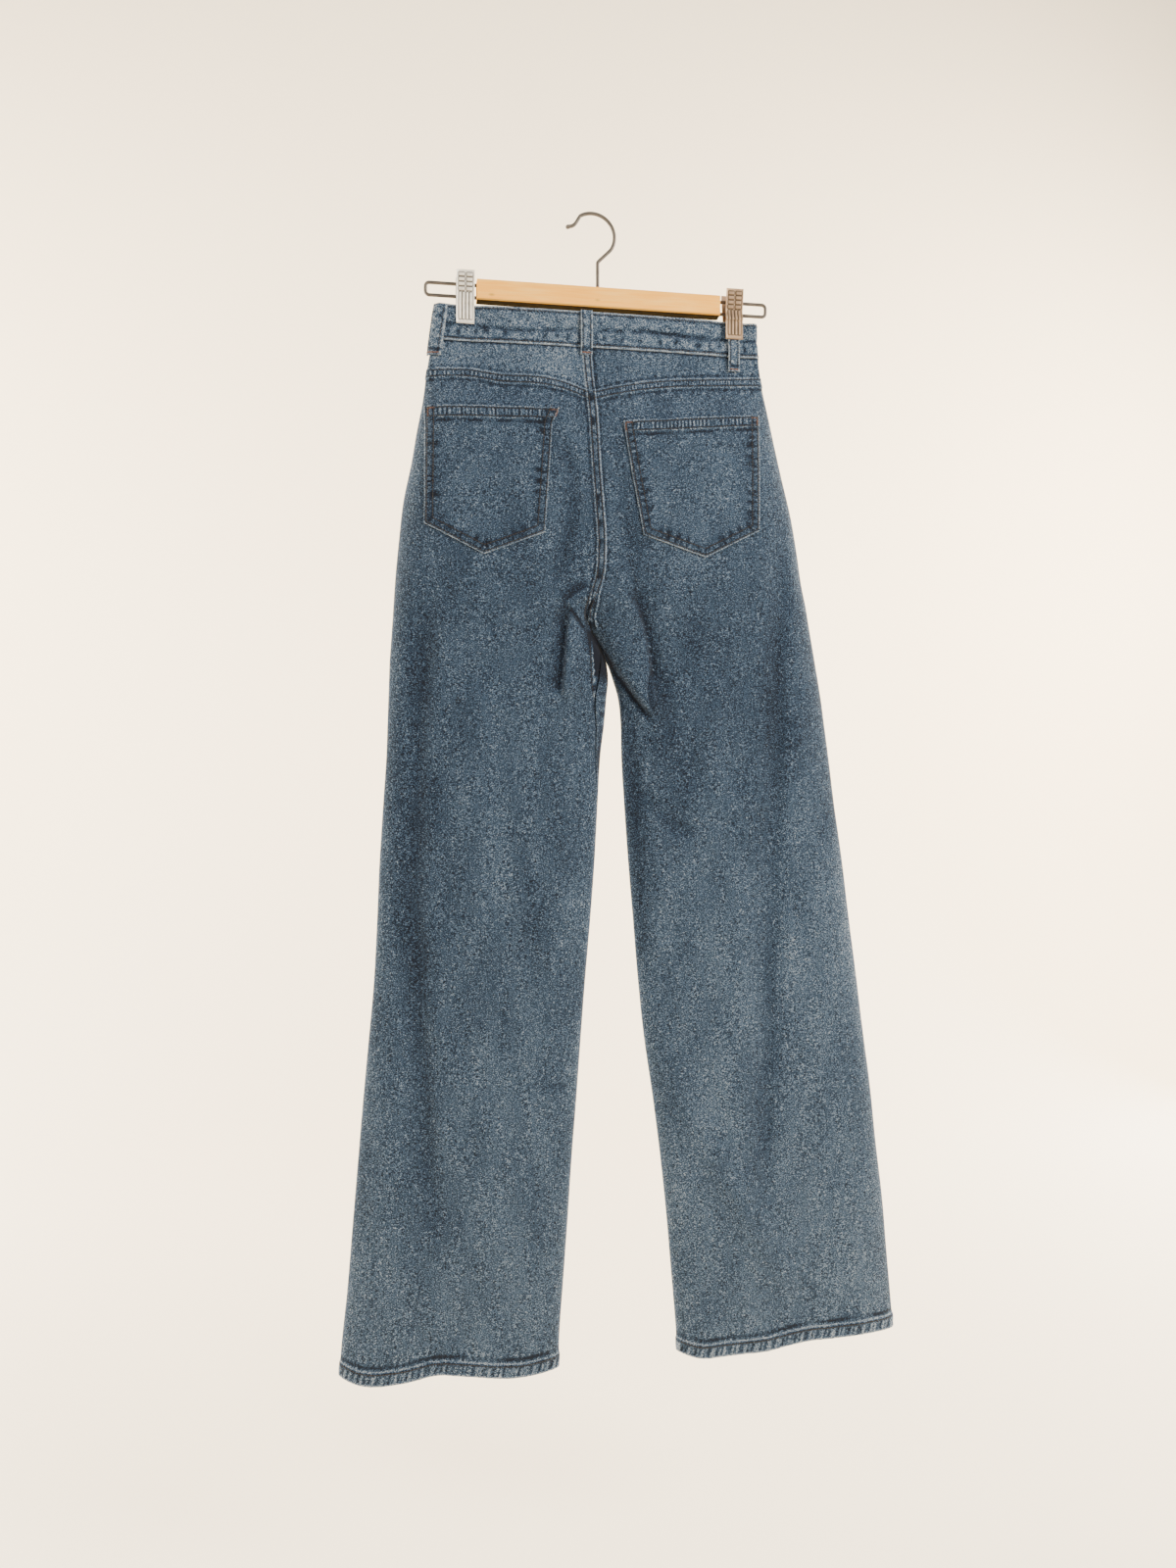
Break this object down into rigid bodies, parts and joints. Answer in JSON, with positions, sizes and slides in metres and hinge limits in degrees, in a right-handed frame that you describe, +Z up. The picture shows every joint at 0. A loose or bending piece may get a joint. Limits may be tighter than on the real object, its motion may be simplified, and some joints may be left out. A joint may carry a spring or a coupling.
{
  "type": "wide-leg jeans on a clip hanger",
  "caption": "High-waisted wide-leg denim jeans with patch back pockets, clipped by the waistband to a wood and wire skirt hanger and hanging open and empty.",
  "frame": {"origin": "inside top of the hanger's hook, where the rail or nail that carries it touches", "axes": "+Z up, -Y towards the viewer of the picture, who sees the back of the jeans, +X to that viewer's right"},
  "size_m": [0.5781, 0.0352, 1.1755],
  "materials": {
    "denim": "washed mid-blue denim, matte twill",
    "denim_pale": "washed denim, paler at the yoke",
    "denim_waistband": "washed denim, doubled waistband",
    "denim_pocket": "washed denim, worn edges",
    "denim_trim": "washed denim belt loops",
    "button_metal": "dull brass",
    "hanger_wood": "pale varnished wood",
    "hanger_steel": "plated steel wire and pressed sheet"
  },
  "bodies": {
    "root": {"back_panel_left": "denim", "back_panel_right": "denim", "front_panel_left": "denim", "front_panel_right": "denim", "back_yoke_left": "denim_pale", "back_yoke_right": "denim_pale", "waistband": "denim_waistband", "back_pocket_left": "denim_pocket", "back_pocket_right": "denim_pocket", "pocket_facing_left": "denim_pocket", "pocket_facing_right": "denim_pocket", "belt_loop_centre": "denim_trim", "belt_loop_left_back": "denim_trim", "belt_loop_right_back": "denim_trim", "belt_loop_left_front": "denim_trim", "belt_loop_right_front": "denim_trim", "button": "button_metal", "hanger_bar": "hanger_wood", "hanger_hook": "hanger_steel", "hanger_wire_left": "hanger_steel", "hanger_wire_right": "hanger_steel", "clip_left_back_jaw": "hanger_steel", "clip_left_front_jaw": "hanger_steel", "clip_left_core": "hanger_steel", "clip_right_back_jaw": "hanger_steel", "clip_right_front_jaw": "hanger_steel", "clip_right_core": "hanger_steel"}
  },
  "joints": []
}
